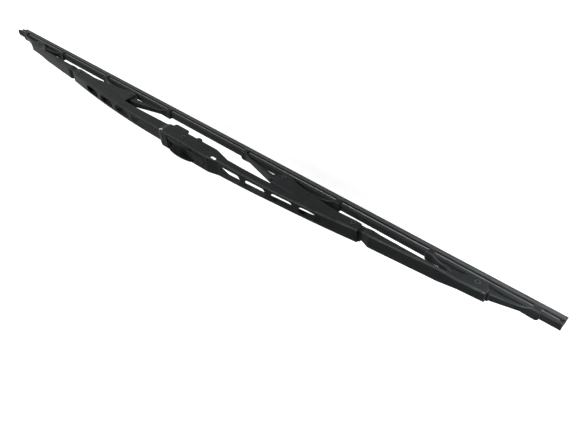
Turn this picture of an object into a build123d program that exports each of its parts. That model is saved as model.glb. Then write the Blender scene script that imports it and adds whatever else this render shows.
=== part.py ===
from build123d import *
import os
from dataclasses import dataclass

os.makedirs("parts", exist_ok=True)

# A bow wiper blade in millimetres: X along the blade, Y across it, Z away from the glass.
# The origin is on the axis of the centre pin, in the middle of the blade.
# Heights are measured up from the rail line, the mid-plane of the two spring rails.

# Pivots: stations along the blade and heights
PIN_HEIGHT = 25.6
LEVER_PIVOT_X = 175.0
LEVER_PIVOT_HEIGHT = 15.2
OUTER_PIVOT_X = 269.8
OUTER_PIVOT_HEIGHT = 6.6
INNER_PIVOT_X = 100.3
INNER_PIVOT_HEIGHT = 7.5

# Fits between pieces that move on each other
SIDE_CLEARANCE = 0.1
TURNING_CLEARANCE = 0.05
CLAW_CLEARANCE = 0.15
ADAPTER_CLEARANCE = 0.2

# Sheet thicknesses, and the outer radius of the bends
PRIMARY_SHEET = 1.0
SECONDARY_SHEET = 0.9
YOKE_SHEET = 0.8
BEND = 1.6

# Widths, built up from the yoke outwards
YOKE_WIDTH = 6.3
YOKE_WAIST = 4.8
YOKE_LINER_WALL = 0.45
SECONDARY_WIDTH = YOKE_WIDTH + 2 * (YOKE_LINER_WALL + SIDE_CLEARANCE + SECONDARY_SHEET)
LEVER_LINER_WALL = 0.5
PRIMARY_WIDTH = SECONDARY_WIDTH + 2 * (LEVER_LINER_WALL + SIDE_CLEARANCE + PRIMARY_SHEET)
SADDLE_WIDTH = 16.4

# Primary lever: the saddle round the pin, the bowed arms and the deeper pivot ends
SADDLE_RISE = 6.8
SADDLE_DROP = 6.1
SADDLE_FRONT = 24.5
SADDLE_BACK = 36.0
SADDLE_STEP = 2.4
SADDLE_CORNER = 11.0
FRONT_RAMP = 5.0
BACK_RAMP = 11.0
BACK_TAPER = 74.0
FRONT_SKIRT_START = 46.0
BACK_SKIRT_START = 52.5
FRONT_ROOT_DEPTH = 10.0
FRONT_ARM_DEPTH = 8.0
BACK_ROOT_DEPTH = 6.5
BACK_ARM_DEPTH = 6.6
END_ARM_DEPTH = 7.2
ARM_BULGE = 2.0
END_REACH = 7.0
END_RISE = 5.0
END_DROP = 3.2
END_LENGTH = 35.0
END_RAMP = 8.0
END_CORNER = 3.0

# Primary lever: slots in the back, relief holes beside the saddle and the hook window
SLOT_COUNT = 4
SLOT_LENGTH = 21.5
SLOT_WIDTH = 7.2
SLOT_PITCH = 27.0
SLOT_START = 61.0
RELIEF_LENGTH = 6.5
RELIEF_HEIGHT = 2.6
RELIEF_DROP = 3.4
WINDOW_FRONT = 16.0
WINDOW_BACK = 17.0
WINDOW_CORNER = 1.5
TONGUE_SLOT_WIDTH = 10.4
TONGUE_SLOT_BACK = 33.4

# Secondary levers: back, skirt and ears
INNER_EAR_REACH = 4.6
OUTER_EAR_REACH = 8.6
EAR_DROP = 3.6
EAR_HALF = 4.0
EAR_SLOPE = 7.5
EAR_CORNER = 3.0
INNER_RISE = 10.9
OUTER_RISE = 5.5
PIVOT_SPAN = 10.5
PIVOT_RISE = 3.0
PIVOT_TILT = 0.4
PIVOT_DROP = 3.4
JOGGLE_LENGTH = 6.0
JOGGLE_RISE = 4.0
SKIRT_DROP = 3.8
SKIRT_BLEND = 12.0
OUTER_SKIRT_DROP = 2.2
OUTER_SKIRT_SLOPE = 18.8
FLARE_WIDTH = 12.2
FLARE_GAP = 0.7
FLARE_LENGTH = 6.0
FLARE_END = 24.0
FLARE_TAPER = 14.0

# Yokes: arms, arched backs and the claws that hold the rails
OUTER_ARM = 38.5
INNER_ARM = 50.4
OUTER_CROWN = 3.0
INNER_CROWN = 5.5
CROWN_HALF = 10.8
YOKE_EAR_DROP = 3.0
YOKE_EAR_HALF = 4.5
YOKE_DEPTH = 4.4
YOKE_TIP_DEPTH = 1.15
CLAW_LENGTH = 6.0
CLAW_TOP = 4.0
CLAW_LEG_DROP = 0.95
CLAW_FLARE = 6.0
CLAW_HOOK = 0.9
CLAW_CORNER = 2.4
YOKE_SHOULDER = 16.0

# Liners: how far they reach past the end of the lever that holds them
LINER_PROUD = 1.8
LINER_BACK = 8.0
LINER_DROP = 2.7

# Rivets and the centre pin
LEVER_RIVET_RADIUS = 1.6
YOKE_RIVET_RADIUS = 1.5
RIVET_HEAD_RADIUS = 2.05
RIVET_HEAD_HEIGHT = 0.6
RIVET_HOLLOW_RADIUS = 0.9
RIVET_HOLLOW_DEPTH = 1.4
PIN_RADIUS = 1.8
PIN_HEAD_RADIUS = 2.1

# Rubber strip and rails
RUBBER_OVERHANG = 16.7
RAIL_OUTER = 3.3
RAIL_INNER = 1.0
RAIL_THICKNESS = 0.9
RAIL_INSET = 3.0
HEAD_HALF = 3.2
HEAD_RISE = 2.3
HEAD_CORNER = 1.3
FOOT_HALF = 2.1
FOOT_DEPTH = 0.95
NECK_HALF = 0.8
NECK_DEPTH = 1.1
SHOULDER_HALF = 2.3
SHOULDER_DEPTH = 0.8
WEDGE_DEPTH = 3.4
LIP_HALF = 0.45
LIP_DEPTH = 1.6

# Arm adapter: cheeks, barrel and locking tongue
CHEEK_WALL = 1.6
CHEEK_BACK = 15.0
CHEEK_FRONT = 22.6
CHEEK_RISE = 7.5
CHEEK_ARCH = 1.9
CHEEK_DROP = 6.3
CHEEK_SLOPE_START = 13.4
CHEEK_SLOPE_RISE = 1.8
CHEEK_CORNER = 0.8
CHEEK_FOOT_DROP = 4.2
CHEEK_FOOT_LENGTH = 17.1
CHEEK_NUB_DROP = 3.0
CHEEK_NUB_LENGTH = 4.0
CHEEK_NUB_BACK = 13.4
CHEEK_TOE = 2.4
BARREL_RADIUS = 4.0
TONGUE_WIDTH = 8.0
TONGUE_THICKNESS = 1.4
TONGUE_GAP = 1.6
TONGUE_SUNK = 0.2
TONGUE_ROOT = 14.0

# Values that follow from the sizes above
SADDLE_TOP = PIN_HEIGHT + SADDLE_RISE
SADDLE_BOTTOM = PIN_HEIGHT - SADDLE_DROP
SADDLE_INNER = SADDLE_WIDTH - 2 * PRIMARY_SHEET
PRIMARY_HALF = LEVER_PIVOT_X + END_REACH
SECONDARY_INNER_END = INNER_PIVOT_X - INNER_EAR_REACH
SECONDARY_OUTER_END = OUTER_PIVOT_X + OUTER_EAR_REACH
RUBBER_HALF = OUTER_PIVOT_X + OUTER_ARM + RUBBER_OVERHANG
CLAW_INNER = RAIL_OUTER + CLAW_CLEARANCE
CLAW_OUTER = CLAW_INNER + YOKE_SHEET
ADAPTER_WIDTH = SADDLE_INNER - 2 * ADAPTER_CLEARANCE
FAR_BELOW = -PIN_HEIGHT


@dataclass
class PrimaryHalf:
    """One half of the primary lever: its direction along X, and the sizes that differ."""

    side: int
    saddle: float
    ramp: float
    taper: float
    skirt_start: float
    root_depth: float
    arm_depth: float


FRONT = PrimaryHalf(
    1, SADDLE_FRONT, FRONT_RAMP, FRONT_RAMP, FRONT_SKIRT_START, FRONT_ROOT_DEPTH, FRONT_ARM_DEPTH
)
BACK = PrimaryHalf(
    -1, SADDLE_BACK, BACK_RAMP, BACK_TAPER, BACK_SKIRT_START, BACK_ROOT_DEPTH, BACK_ARM_DEPTH
)


def side_plane(x):
    """The lengthwise mid-plane, with its zero on the rail line at station x."""
    return Plane(origin=(x, 0, -PIN_HEIGHT), x_dir=(1, 0, 0), z_dir=(0, -1, 0))


def section_plane(x):
    """The cross-section at station x, with its zero on the rail line."""
    return Plane(origin=(x, 0, -PIN_HEIGHT), x_dir=(0, 1, 0), z_dir=(1, 0, 0))


def plan_plane(x, height):
    """The plan view at a height over the rail line, with its zero at station x."""
    return Plane(origin=(x, 0, height - PIN_HEIGHT), x_dir=(1, 0, 0), z_dir=(0, 0, 1))


def back_edges(block):
    """The long edges on both sides of a lever's back, where the sheet bends down."""
    back = block.faces().filter_by(lambda face: face.normal_at().Z > 0.7)
    return back.edges().filter_by(lambda edge: abs(edge.tangent_at(0.5).Y) < 0.7)


def round_corner(sketch, x, y, radius):
    """Rounds the corner of the open sketch that is nearest to a local point."""
    fillet(sketch.vertices().sort_by_distance((x, y, 0))[0], radius)


def write(part, name):
    """Labels a finished piece and writes its file."""
    part.label = name
    export_step(part, f"parts/{name}.step")


# Primary lever: a bowed block, hollowed from below to a channel
def arm_back(x):
    """Height of the primary arm's bowed back at distance x from the middle."""
    start_x = SADDLE_BACK + BACK_RAMP
    along = (x - start_x) / (PRIMARY_HALF - start_x)
    start = SADDLE_TOP - SADDLE_STEP
    end = LEVER_PIVOT_HEIGHT + END_RISE
    return start + (end - start) * along + 4 * ARM_BULGE * along * (1 - along)


def draw_primary_back(half, inset):
    """Draws the back of one half of the primary, from the middle to its end, lowered by inset."""
    arm_start = half.saddle + half.ramp
    middle = (arm_start + PRIMARY_HALF) / 2
    top = SADDLE_TOP - inset
    root = (half.side * arm_start, arm_back(arm_start) - inset)
    Polyline((0, top), (half.side * half.saddle, top), root)
    ThreePointArc(
        root,
        (half.side * middle, arm_back(middle) - inset),
        (half.side * PRIMARY_HALF, arm_back(PRIMARY_HALF) - inset),
    )


def round_primary_back(sketch, half, inset):
    """Rounds the ramp between the saddle and the arm of one half."""
    arm_start = half.saddle + half.ramp
    round_corner(sketch, half.side * half.saddle, SADDLE_TOP - inset, half.ramp / 2)
    round_corner(sketch, half.side * arm_start, arm_back(arm_start) - inset, half.ramp)


def primary_plan(inset):
    """Plan outline of the primary lever, inset on its sides."""
    saddle_side = SADDLE_WIDTH / 2 - inset
    arm_side = PRIMARY_WIDTH / 2 - inset
    with BuildSketch(plan_plane(0, 0)) as plan:
        with BuildLine():
            Polyline(
                (-PRIMARY_HALF, 0),
                (-PRIMARY_HALF, arm_side),
                (-BACK.saddle - BACK.taper, arm_side),
                (-BACK.saddle, saddle_side),
                (FRONT.saddle, saddle_side),
                (FRONT.saddle + FRONT.taper, arm_side),
                (PRIMARY_HALF, arm_side),
                (PRIMARY_HALF, 0),
                close=True,
            )
        make_face()
        for half in (FRONT, BACK):
            round_corner(plan, half.side * half.saddle, saddle_side, SADDLE_CORNER)
            round_corner(plan, half.side * (half.saddle + half.taper), arm_side, SADDLE_CORNER)
        mirror(about=Plane.XZ)
    return plan.sketch


with BuildPart() as primary_hollow:
    with BuildSketch(side_plane(0)) as hollow_side:
        with BuildLine():
            for half in (FRONT, BACK):
                draw_primary_back(half, PRIMARY_SHEET)
            Polyline(
                (PRIMARY_HALF, arm_back(PRIMARY_HALF) - PRIMARY_SHEET),
                (PRIMARY_HALF, FAR_BELOW),
                (-PRIMARY_HALF, FAR_BELOW),
                (-PRIMARY_HALF, arm_back(PRIMARY_HALF) - PRIMARY_SHEET),
            )
        make_face()
        for half in (FRONT, BACK):
            round_primary_back(hollow_side, half, PRIMARY_SHEET)
    extrude(amount=SADDLE_WIDTH, both=True)
    extrude(primary_plan(PRIMARY_SHEET), amount=2 * SADDLE_TOP, both=True, mode=Mode.INTERSECT)
    fillet(back_edges(primary_hollow.part), BEND - PRIMARY_SHEET)

END_START = PRIMARY_HALF - END_LENGTH
END_BOTTOM = LEVER_PIVOT_HEIGHT - END_DROP
END_KNEE = END_BOTTOM + END_DROP / 2
SKIRT_END = END_START - END_RAMP
SKIRT_END_BOTTOM = arm_back(SKIRT_END) - END_ARM_DEPTH


def draw_primary_skirt(half):
    """Draws the lower edge of one half of the primary, from its end to the middle."""
    side = half.side
    middle = (half.skirt_start + SKIRT_END) / 2
    root = (side * half.skirt_start, arm_back(half.skirt_start) - half.root_depth)
    Polyline(
        (side * PRIMARY_HALF, arm_back(PRIMARY_HALF)),
        (side * PRIMARY_HALF, END_BOTTOM),
        (side * LEVER_PIVOT_X, END_BOTTOM),
        (side * END_START, END_KNEE),
        (side * SKIRT_END, SKIRT_END_BOTTOM),
    )
    ThreePointArc(
        (side * SKIRT_END, SKIRT_END_BOTTOM),
        (side * middle, arm_back(middle) - half.arm_depth),
        root,
    )
    Polyline(root, (side * half.saddle, SADDLE_BOTTOM), (0, SADDLE_BOTTOM))


with BuildPart() as primary_lever:
    with BuildSketch(side_plane(0)) as primary_side:
        with BuildLine():
            for half in (FRONT, BACK):
                draw_primary_back(half, 0)
                draw_primary_skirt(half)
        make_face()
        for half in (FRONT, BACK):
            round_primary_back(primary_side, half, 0)
            round_corner(primary_side, half.side * PRIMARY_HALF, END_BOTTOM, END_CORNER)
            round_corner(primary_side, half.side * END_START, END_KNEE, END_RAMP / 2)
            round_corner(primary_side, half.side * SKIRT_END, SKIRT_END_BOTTOM, END_RAMP / 2)
            round_corner(primary_side, half.side * half.saddle, SADDLE_BOTTOM, SADDLE_CORNER)
    extrude(amount=SADDLE_WIDTH, both=True)
    extrude(primary_plan(0), amount=2 * SADDLE_TOP, both=True, mode=Mode.INTERSECT)
    fillet(back_edges(primary_lever.part), BEND)
    add(primary_hollow.part, mode=Mode.SUBTRACT)
    with BuildSketch(plan_plane(0, SADDLE_TOP)) as back_openings:
        for slot in range(SLOT_COUNT):
            slot_x = SLOT_START + slot * SLOT_PITCH
            with Locations((slot_x, 0), (-slot_x, 0)):
                SlotOverall(SLOT_LENGTH, SLOT_WIDTH)
    extrude(amount=LEVER_PIVOT_HEIGHT - SADDLE_TOP, mode=Mode.SUBTRACT)
    with BuildSketch(plan_plane(0, SADDLE_TOP)) as hook_window:
        with Locations(((WINDOW_FRONT - WINDOW_BACK) / 2, 0)):
            Rectangle(WINDOW_FRONT + WINDOW_BACK, SADDLE_INNER)
        fillet(hook_window.vertices(), WINDOW_CORNER)
        with Locations((-TONGUE_SLOT_BACK / 2, 0)):
            SlotOverall(TONGUE_SLOT_BACK, TONGUE_SLOT_WIDTH)
    extrude(amount=-SADDLE_RISE, mode=Mode.SUBTRACT)
    with BuildSketch(side_plane(0)) as flank_openings:
        for half in (FRONT, BACK):
            with Locations((half.side * (half.saddle + half.ramp / 2), SADDLE_TOP - RELIEF_DROP)):
                SlotOverall(RELIEF_LENGTH, RELIEF_HEIGHT)
            with Locations((half.side * LEVER_PIVOT_X, LEVER_PIVOT_HEIGHT)):
                Circle(LEVER_RIVET_RADIUS)
        with Locations((0, PIN_HEIGHT)):
            Circle(PIN_RADIUS)
    extrude(amount=SADDLE_WIDTH, both=True, mode=Mode.SUBTRACT)

write(primary_lever.part, "primary_lever")


# Secondary levers: straight-sided channels with a drooping ear at each end
def draw_secondary_back(inset):
    """Draws the secondary's back from its inner to its outer end, lowered by inset."""
    joggle_x = LEVER_PIVOT_X + PIVOT_SPAN
    Polyline(
        (SECONDARY_INNER_END, INNER_PIVOT_HEIGHT + INNER_RISE - inset),
        (LEVER_PIVOT_X - PIVOT_SPAN, LEVER_PIVOT_HEIGHT + PIVOT_RISE + PIVOT_TILT - inset),
        (joggle_x, LEVER_PIVOT_HEIGHT + PIVOT_RISE - PIVOT_TILT - inset),
        (joggle_x + JOGGLE_LENGTH, LEVER_PIVOT_HEIGHT + JOGGLE_RISE - inset),
        (SECONDARY_OUTER_END, OUTER_PIVOT_HEIGHT + OUTER_RISE - inset),
    )


def round_secondary_back(sketch, inset):
    """Rounds the joggle where the back steps up outside the primary lever."""
    joggle_x = LEVER_PIVOT_X + PIVOT_SPAN
    low = LEVER_PIVOT_HEIGHT + PIVOT_RISE - PIVOT_TILT - inset
    high = LEVER_PIVOT_HEIGHT + JOGGLE_RISE - inset
    round_corner(sketch, joggle_x, low, JOGGLE_LENGTH)
    round_corner(sketch, joggle_x + JOGGLE_LENGTH, high, JOGGLE_LENGTH)
    round_corner(sketch, LEVER_PIVOT_X - PIVOT_SPAN, low + 2 * PIVOT_TILT, LEVER_PIVOT_X)


def secondary_plan(inset):
    """Plan outline of the right secondary: narrow inside the primary, flared outside it, narrow at the ear."""
    narrow = SECONDARY_WIDTH / 2 - inset
    wide = FLARE_WIDTH / 2 - inset
    flare_start = PRIMARY_HALF + LINER_PROUD + FLARE_GAP
    flare_end = OUTER_PIVOT_X - FLARE_END
    bends = (
        (flare_start, narrow),
        (flare_start + FLARE_LENGTH, wide),
        (flare_end, wide),
        (flare_end + FLARE_TAPER, narrow),
    )
    with BuildSketch(plan_plane(0, 0)) as plan:
        with BuildLine():
            Polyline(
                (SECONDARY_INNER_END, 0),
                (SECONDARY_INNER_END, narrow),
                *bends,
                (SECONDARY_OUTER_END, narrow),
                (SECONDARY_OUTER_END, 0),
                close=True,
            )
        make_face()
        for x, y in bends:
            round_corner(plan, x, y, FLARE_LENGTH)
        mirror(about=Plane.XZ)
    return plan.sketch


with BuildPart() as secondary_hollow:
    with BuildSketch(side_plane(0)) as secondary_hollow_side:
        with BuildLine():
            draw_secondary_back(SECONDARY_SHEET)
            Polyline(
                (SECONDARY_OUTER_END, OUTER_PIVOT_HEIGHT + OUTER_RISE - SECONDARY_SHEET),
                (SECONDARY_OUTER_END, FAR_BELOW),
                (SECONDARY_INNER_END, FAR_BELOW),
                (SECONDARY_INNER_END, INNER_PIVOT_HEIGHT + INNER_RISE - SECONDARY_SHEET),
            )
        make_face()
        round_secondary_back(secondary_hollow_side, SECONDARY_SHEET)
    extrude(amount=SADDLE_WIDTH, both=True)
    extrude(secondary_plan(SECONDARY_SHEET), amount=2 * SADDLE_TOP, both=True, mode=Mode.INTERSECT)
    fillet(back_edges(secondary_hollow.part), BEND - SECONDARY_SHEET)

SKIRT_LINE = LEVER_PIVOT_HEIGHT - SKIRT_DROP
PIVOT_BOTTOM = LEVER_PIVOT_HEIGHT - PIVOT_DROP
OUTER_EAR_BOTTOM = OUTER_PIVOT_HEIGHT - EAR_DROP
INNER_EAR_BOTTOM = INNER_PIVOT_HEIGHT - EAR_DROP
OUTER_EAR_START = OUTER_PIVOT_X - EAR_HALF
INNER_EAR_START = INNER_PIVOT_X + EAR_HALF
INNER_SKIRT_END = INNER_EAR_START + 2 * EAR_SLOPE
OUTER_SKIRT_END = OUTER_EAR_START - OUTER_SKIRT_SLOPE
OUTER_SKIRT_LINE = LEVER_PIVOT_HEIGHT - OUTER_SKIRT_DROP

with BuildPart() as secondary_lever_right:
    with BuildSketch(side_plane(0)) as secondary_side:
        with BuildLine():
            draw_secondary_back(0)
            Polyline(
                (SECONDARY_OUTER_END, OUTER_PIVOT_HEIGHT + OUTER_RISE),
                (SECONDARY_OUTER_END, OUTER_EAR_BOTTOM),
                (OUTER_EAR_START, OUTER_EAR_BOTTOM),
                (OUTER_SKIRT_END, OUTER_SKIRT_LINE),
                (LEVER_PIVOT_X + PIVOT_SPAN + SKIRT_BLEND, OUTER_SKIRT_LINE),
                (LEVER_PIVOT_X + PIVOT_SPAN, PIVOT_BOTTOM),
                (LEVER_PIVOT_X - PIVOT_SPAN, PIVOT_BOTTOM),
                (LEVER_PIVOT_X - PIVOT_SPAN - SKIRT_BLEND, SKIRT_LINE),
                (INNER_SKIRT_END, SKIRT_LINE - SKIRT_DROP),
                (INNER_EAR_START, INNER_EAR_BOTTOM),
                (SECONDARY_INNER_END, INNER_EAR_BOTTOM),
                (SECONDARY_INNER_END, INNER_PIVOT_HEIGHT + INNER_RISE),
            )
        make_face()
        round_secondary_back(secondary_side, 0)
        round_corner(secondary_side, SECONDARY_OUTER_END, OUTER_EAR_BOTTOM, 2 * EAR_CORNER)
        round_corner(secondary_side, OUTER_EAR_START, OUTER_EAR_BOTTOM, EAR_CORNER)
        round_corner(secondary_side, OUTER_SKIRT_END, OUTER_SKIRT_LINE, 2 * EAR_CORNER)
        round_corner(secondary_side, INNER_SKIRT_END, SKIRT_LINE - SKIRT_DROP, 2 * EAR_CORNER)
        round_corner(secondary_side, INNER_EAR_START, INNER_EAR_BOTTOM, EAR_CORNER)
        round_corner(secondary_side, SECONDARY_INNER_END, INNER_EAR_BOTTOM, EAR_CORNER)
    extrude(amount=SADDLE_WIDTH, both=True)
    extrude(secondary_plan(0), amount=2 * SADDLE_TOP, both=True, mode=Mode.INTERSECT)
    fillet(back_edges(secondary_lever_right.part), BEND)
    add(secondary_hollow.part, mode=Mode.SUBTRACT)
    with BuildSketch(side_plane(0)) as secondary_holes:
        with Locations((LEVER_PIVOT_X, LEVER_PIVOT_HEIGHT)):
            Circle(LEVER_RIVET_RADIUS + TURNING_CLEARANCE)
        with Locations((OUTER_PIVOT_X, OUTER_PIVOT_HEIGHT), (INNER_PIVOT_X, INNER_PIVOT_HEIGHT)):
            Circle(YOKE_RIVET_RADIUS)
    extrude(amount=SECONDARY_WIDTH, both=True, mode=Mode.SUBTRACT)

with BuildPart() as secondary_lever_left:
    mirror(secondary_lever_right.part, about=Plane.YZ)

write(secondary_lever_right.part, "secondary_lever_right")
write(secondary_lever_left.part, "secondary_lever_left")


# Yokes: small arched channels that end in claws round the rails
def draw_yoke_back(inset, arm, crown):
    """Draws half of a yoke's back from its pivot past the end of its claw by inset, lowered by inset."""
    claw_start = arm - CLAW_LENGTH / 2
    Polyline(
        (0, crown - inset),
        (CROWN_HALF, crown - inset),
        (claw_start, CLAW_TOP - inset),
        (arm + CLAW_LENGTH / 2 + inset, CLAW_TOP - inset),
    )


def round_yoke_back(sketch, inset, arm, crown):
    """Rounds the shoulder of a yoke's arm and the bend above its claw."""
    round_corner(sketch, CROWN_HALF, crown - inset, YOKE_SHOULDER)
    round_corner(sketch, arm - CLAW_LENGTH / 2, CLAW_TOP - inset, CLAW_FLARE)


def yoke_plan(x, arm, inset):
    """Plan outline of a yoke: wide at the pivot, waisted, flared over the claws and rounded there.

    The inset outline of the hollow runs out past the claws, with square ends.
    """
    claw_start = arm - CLAW_LENGTH / 2
    end = arm + CLAW_LENGTH / 2 + inset
    with BuildSketch(plan_plane(x, 0)) as plan:
        with BuildLine():
            Polyline(
                (0, 0),
                (0, YOKE_WIDTH / 2 - inset),
                (CROWN_HALF, YOKE_WIDTH / 2 - inset),
                (claw_start - CLAW_FLARE, YOKE_WAIST / 2 - inset),
                (claw_start, CLAW_OUTER - inset),
                (end, CLAW_OUTER - inset),
                (end, 0),
                close=True,
            )
        make_face()
        round_corner(plan, CROWN_HALF, YOKE_WIDTH / 2 - inset, CROWN_HALF)
        round_corner(plan, claw_start - CLAW_FLARE, YOKE_WAIST / 2 - inset, CLAW_FLARE / 2)
        round_corner(plan, claw_start, CLAW_OUTER - inset, CLAW_FLARE / 2)
        if not inset:
            round_corner(plan, end, CLAW_OUTER, CLAW_CORNER)
        mirror(about=Plane.XZ)
        mirror(about=Plane.YZ)
    return plan.sketch


def make_yoke(x, pivot, arm, rise):
    """One yoke, with its pivot at station x and height pivot."""
    crown = pivot + rise
    claw_start = arm - CLAW_LENGTH / 2
    claw_end = arm + CLAW_LENGTH / 2
    tip_bottom = CLAW_TOP - YOKE_TIP_DEPTH
    middle = (CROWN_HALF + claw_start) / 2
    middle_bottom = (crown + CLAW_TOP - YOKE_DEPTH) / 2
    hook_top = -RAIL_THICKNESS / 2 - CLAW_CLEARANCE
    with BuildPart() as hollow:
        with BuildSketch(side_plane(x)) as hollow_side:
            with BuildLine():
                draw_yoke_back(YOKE_SHEET, arm, crown)
                Polyline(
                    (claw_end + YOKE_SHEET, CLAW_TOP - YOKE_SHEET),
                    (claw_end + YOKE_SHEET, FAR_BELOW),
                    (0, FAR_BELOW),
                    (0, crown - YOKE_SHEET),
                )
            make_face()
            round_yoke_back(hollow_side, YOKE_SHEET, arm, crown)
            mirror(about=Plane.YZ)
        extrude(amount=SADDLE_WIDTH, both=True)
        extrude(yoke_plan(x, arm, YOKE_SHEET), amount=2 * SADDLE_TOP, both=True, mode=Mode.INTERSECT)
    with BuildPart() as claws:
        for claw_x in (x - claw_end, x + claw_start):
            with BuildSketch(section_plane(claw_x)) as claw:
                with BuildLine():
                    Polyline(
                        (CLAW_OUTER, CLAW_TOP - CLAW_LEG_DROP),
                        (CLAW_OUTER, hook_top - YOKE_SHEET),
                        (CLAW_INNER - CLAW_HOOK, hook_top - YOKE_SHEET),
                        (CLAW_INNER - CLAW_HOOK, hook_top),
                        (CLAW_INNER, hook_top),
                        (CLAW_INNER, CLAW_TOP - CLAW_LEG_DROP),
                        close=True,
                    )
                make_face()
                round_corner(claw, CLAW_OUTER, hook_top - YOKE_SHEET, YOKE_SHEET)
                mirror(about=Plane.YZ)
            extrude(amount=CLAW_LENGTH)
        extrude(yoke_plan(x, arm, 0), amount=2 * SADDLE_TOP, both=True, mode=Mode.INTERSECT)
    with BuildPart() as yoke:
        with BuildSketch(side_plane(x)) as side:
            with BuildLine():
                draw_yoke_back(0, arm, crown)
                Polyline(
                    (claw_end, CLAW_TOP),
                    (claw_end, tip_bottom),
                    (claw_start, tip_bottom),
                )
                ThreePointArc(
                    (claw_start, tip_bottom),
                    (middle, middle_bottom),
                    (CROWN_HALF, crown - YOKE_DEPTH),
                )
                Polyline(
                    (CROWN_HALF, crown - YOKE_DEPTH),
                    (YOKE_EAR_HALF, pivot - YOKE_EAR_DROP),
                    (0, pivot - YOKE_EAR_DROP),
                    (0, crown),
                )
            make_face()
            round_yoke_back(side, 0, arm, crown)
            round_corner(side, YOKE_EAR_HALF, pivot - YOKE_EAR_DROP, YOKE_EAR_DROP)
            mirror(about=Plane.YZ)
        extrude(amount=SADDLE_WIDTH, both=True)
        extrude(yoke_plan(x, arm, 0), amount=2 * SADDLE_TOP, both=True, mode=Mode.INTERSECT)
        fillet(back_edges(yoke.part), YOKE_SHEET)
        add(hollow.part, mode=Mode.SUBTRACT)
        add(claws.part)
        with BuildSketch(side_plane(x)):
            with Locations((0, pivot)):
                Circle(YOKE_RIVET_RADIUS + TURNING_CLEARANCE)
        extrude(amount=YOKE_WIDTH, both=True, mode=Mode.SUBTRACT)
    return yoke.part


YOKES = {
    "outer_left": (-OUTER_PIVOT_X, OUTER_PIVOT_HEIGHT, OUTER_ARM, OUTER_CROWN),
    "inner_left": (-INNER_PIVOT_X, INNER_PIVOT_HEIGHT, INNER_ARM, INNER_CROWN),
    "inner_right": (INNER_PIVOT_X, INNER_PIVOT_HEIGHT, INNER_ARM, INNER_CROWN),
    "outer_right": (OUTER_PIVOT_X, OUTER_PIVOT_HEIGHT, OUTER_ARM, OUTER_CROWN),
}

for place, sizes in YOKES.items():
    write(make_yoke(*sizes), f"yoke_{place}")


# Liners: thin plastic saddles on the inner lever, that run on the flanks of the outer lever
with BuildPart() as lever_liner_right:
    liner_start = LEVER_PIVOT_X - LINER_BACK
    liner_end = PRIMARY_HALF + LINER_PROUD
    liner_low = LEVER_PIVOT_HEIGHT - LINER_DROP
    slope = PIVOT_TILT / PIVOT_SPAN
    back_start = LEVER_PIVOT_HEIGHT + PIVOT_RISE + slope * LINER_BACK
    back_end = LEVER_PIVOT_HEIGHT + PIVOT_RISE - slope * (liner_end - LEVER_PIVOT_X)
    with BuildSketch(side_plane(0)) as lever_liner_side:
        with BuildLine():
            Polyline(
                (liner_start, back_start + LEVER_LINER_WALL),
                (liner_end, back_end + LEVER_LINER_WALL),
                (liner_end, liner_low),
                (liner_start, liner_low),
                close=True,
            )
        make_face()
        with Locations((LEVER_PIVOT_X, LEVER_PIVOT_HEIGHT)):
            Circle(LEVER_RIVET_RADIUS + TURNING_CLEARANCE, mode=Mode.SUBTRACT)
    extrude(amount=SECONDARY_WIDTH / 2 + LEVER_LINER_WALL, both=True)
    with BuildSketch(side_plane(0)) as lever_liner_hollow:
        with BuildLine():
            Polyline(
                (liner_start, back_start),
                (liner_end, back_end),
                (liner_end, FAR_BELOW),
                (liner_start, FAR_BELOW),
                close=True,
            )
        make_face()
    extrude(amount=SECONDARY_WIDTH / 2, both=True, mode=Mode.SUBTRACT)

with BuildPart() as lever_liner_left:
    mirror(lever_liner_right.part, about=Plane.YZ)

write(lever_liner_right.part, "lever_liner_right")
write(lever_liner_left.part, "lever_liner_left")


def make_yoke_liner(x, pivot, crown, back, front):
    """One yoke liner that reaches from station x + back to station x + front."""
    width = YOKE_WIDTH + 2 * YOKE_LINER_WALL
    with BuildPart() as liner:
        with BuildSketch(side_plane(x)):
            with BuildLine():
                Polyline(
                    (back, crown + YOKE_LINER_WALL),
                    (front, crown + YOKE_LINER_WALL),
                    (front, pivot + LINER_DROP / 2),
                    (LINER_DROP, pivot - LINER_DROP),
                    (-LINER_DROP, pivot - LINER_DROP),
                    (back, pivot + LINER_DROP / 2),
                    close=True,
                )
            make_face()
            with Locations((0, pivot)):
                Circle(YOKE_RIVET_RADIUS + TURNING_CLEARANCE, mode=Mode.SUBTRACT)
        extrude(amount=width / 2, both=True)
        with BuildSketch(section_plane(x + back)):
            with Locations((0, crown / 2)):
                Rectangle(YOKE_WIDTH, crown)
        extrude(amount=front - back, mode=Mode.SUBTRACT)
    return liner.part


outer_crown = OUTER_PIVOT_HEIGHT + OUTER_CROWN
inner_crown = INNER_PIVOT_HEIGHT + INNER_CROWN
outer_proud = OUTER_EAR_REACH + LINER_PROUD
inner_proud = INNER_EAR_REACH + LINER_PROUD
YOKE_LINERS = {
    "outer_left": (-OUTER_PIVOT_X, OUTER_PIVOT_HEIGHT, outer_crown, -outer_proud, LINER_BACK),
    "inner_left": (-INNER_PIVOT_X, INNER_PIVOT_HEIGHT, inner_crown, -LINER_BACK, inner_proud),
    "inner_right": (INNER_PIVOT_X, INNER_PIVOT_HEIGHT, inner_crown, -inner_proud, LINER_BACK),
    "outer_right": (OUTER_PIVOT_X, OUTER_PIVOT_HEIGHT, outer_crown, -LINER_BACK, outer_proud),
}

for place, sizes in YOKE_LINERS.items():
    write(make_yoke_liner(*sizes), f"yoke_liner_{place}")


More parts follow.
